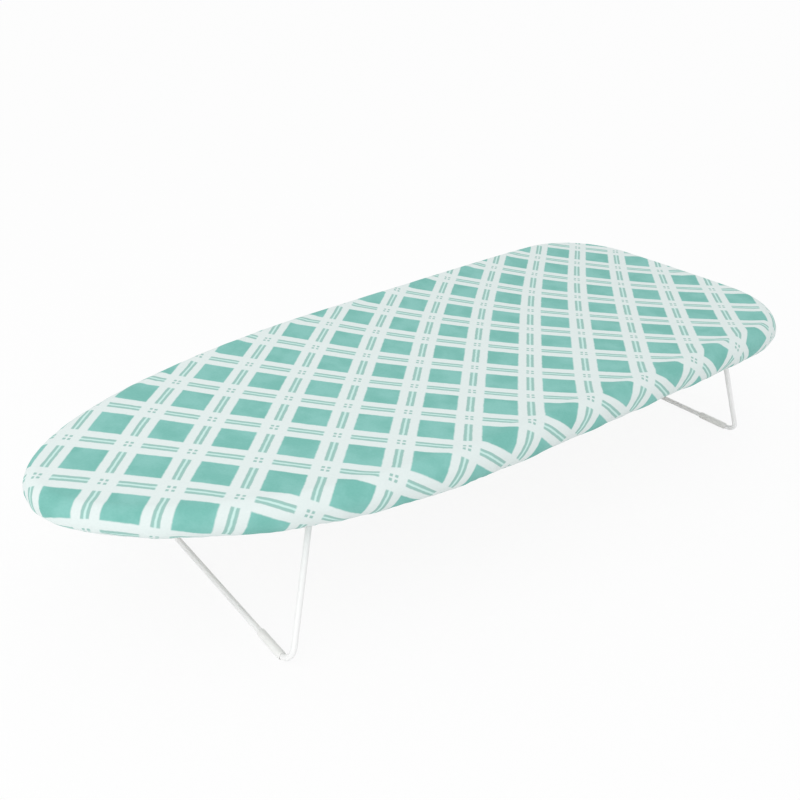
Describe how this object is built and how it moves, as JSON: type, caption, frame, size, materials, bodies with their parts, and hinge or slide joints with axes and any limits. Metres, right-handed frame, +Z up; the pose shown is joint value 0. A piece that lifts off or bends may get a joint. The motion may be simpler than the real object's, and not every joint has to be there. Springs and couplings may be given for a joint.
{
  "type": "tabletop ironing board",
  "caption": "Tabletop ironing board with a padded cotton cover in a teal and white bias plaid over a steel net, on white wire legs that fold under it",
  "frame": {"origin": "centre of the bounding box in plan, on the table under the open feet", "axes": "+X from the nose to the square end, +Y across the board, +Z up"},
  "size_m": [0.73, 0.32, 0.13],
  "materials": {
    "printed_cotton": "woven cotton printed in teal and white",
    "foam": "soft open foam",
    "elastic": "braided white elastic",
    "white_steel": "white powder coat, satin",
    "rivet_aluminium": "bare aluminium",
    "white_vinyl": "smooth matt vinyl"
  },
  "bodies": {
    "board": {"cover": "printed_cotton", "hem_elastic": "elastic", "pad": "foam", "net": "white_steel", "rim": "white_steel", "front_rail": "white_steel", "middle_rail": "white_steel", "back_rail": "white_steel", "front_bracket_left": "white_steel", "front_rivet_left_1": "rivet_aluminium", "front_rivet_left_2": "rivet_aluminium", "front_bracket_right": "white_steel", "front_rivet_right_1": "rivet_aluminium", "front_rivet_right_2": "rivet_aluminium", "back_bracket_left": "white_steel", "back_rivet_left_1": "rivet_aluminium", "back_rivet_left_2": "rivet_aluminium", "back_bracket_right": "white_steel", "back_rivet_right_1": "rivet_aluminium", "back_rivet_right_2": "rivet_aluminium"},
    "front_leg_set": {"front_leg": "white_steel", "front_cap_left": "white_vinyl", "front_foot_left": "white_vinyl", "front_cap_right": "white_vinyl", "front_foot_right": "white_vinyl"},
    "back_leg_set": {"back_leg": "white_steel", "back_cap_left": "white_vinyl", "back_foot_left": "white_vinyl", "back_cap_right": "white_vinyl", "back_foot_right": "white_vinyl"}
  },
  "joints": [
    {"name": "front_leg_fold", "type": "hinge", "parent": "board", "child": "front_leg_set", "pos_m": [-0.206, 0, 0.094], "axis": [0, -1, 0], "range_deg": [0, 115.5]},
    {"name": "back_leg_fold", "type": "hinge", "parent": "board", "child": "back_leg_set", "pos_m": [0.2635, 0, 0.094], "axis": [0, 1, 0], "range_deg": [0, 109.8]}
  ]
}
